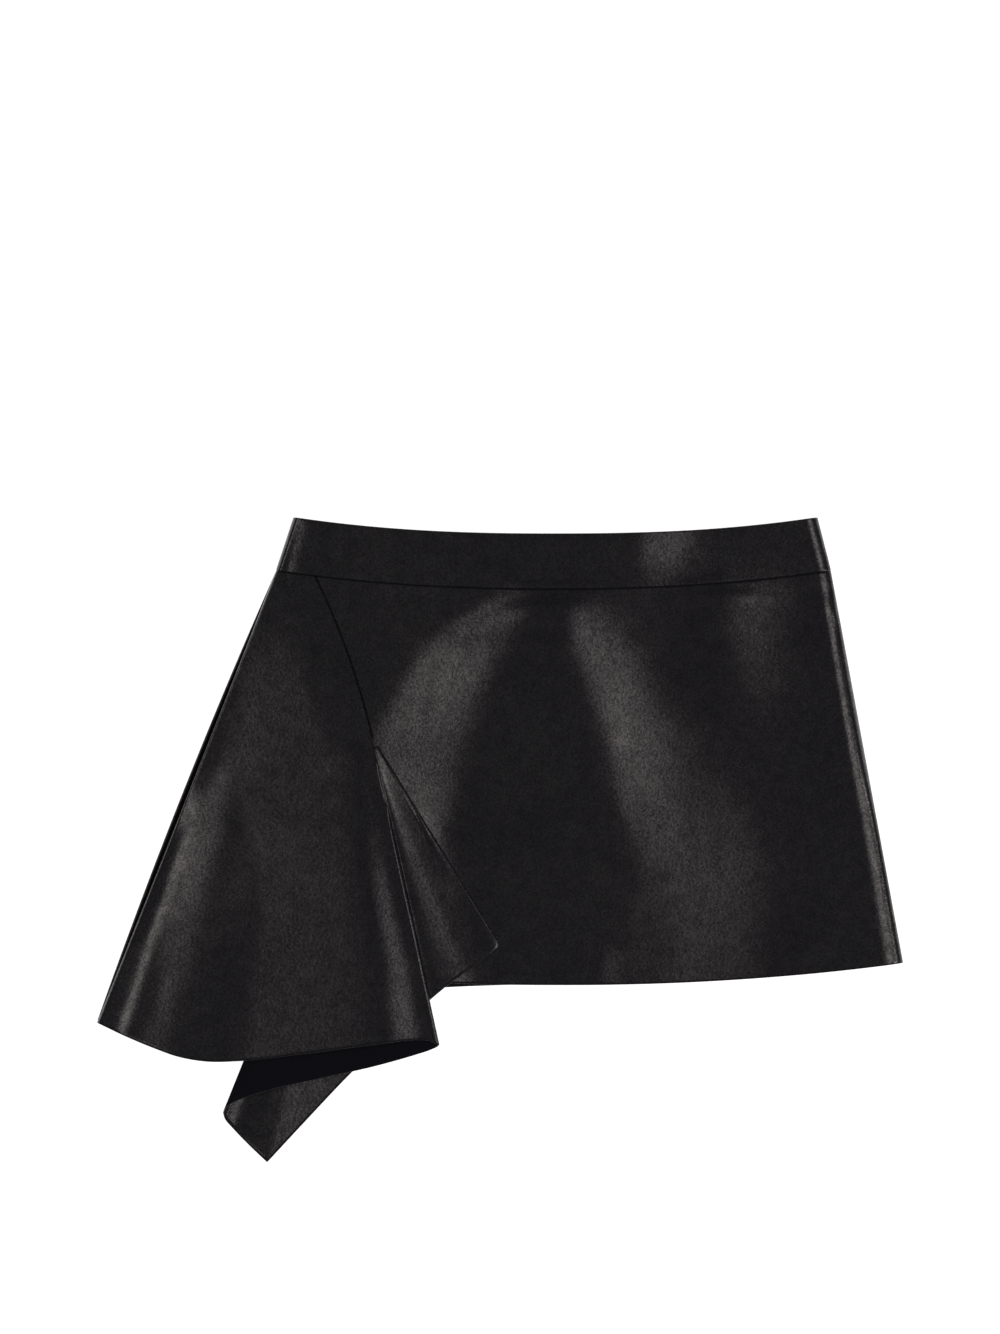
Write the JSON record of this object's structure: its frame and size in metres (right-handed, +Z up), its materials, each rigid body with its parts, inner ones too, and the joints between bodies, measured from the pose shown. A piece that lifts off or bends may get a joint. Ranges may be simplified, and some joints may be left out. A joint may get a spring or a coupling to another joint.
{
  "type": "leather mini skirt",
  "caption": "Black leather mini skirt laid flat on its back, with a contoured waistband, a flared front and an asymmetric flounce that folds over itself at one hip.",
  "frame": {"origin": "under the middle of the whole outline, on the surface that the skirt lies on", "axes": "+Z up from the surface, +Y towards the waist, +X towards the side that has no flounce"},
  "size_m": [0.5861, 0.4692, 0.024],
  "materials": {
    "leather": "fine-grained black nappa with a soft satin finish, suede on the wrong side"
  },
  "bodies": {
    "root": {"waistband_front": "leather", "waistband_back": "leather", "front_panel": "leather", "back_panel": "leather", "flounce": "leather"}
  },
  "joints": []
}
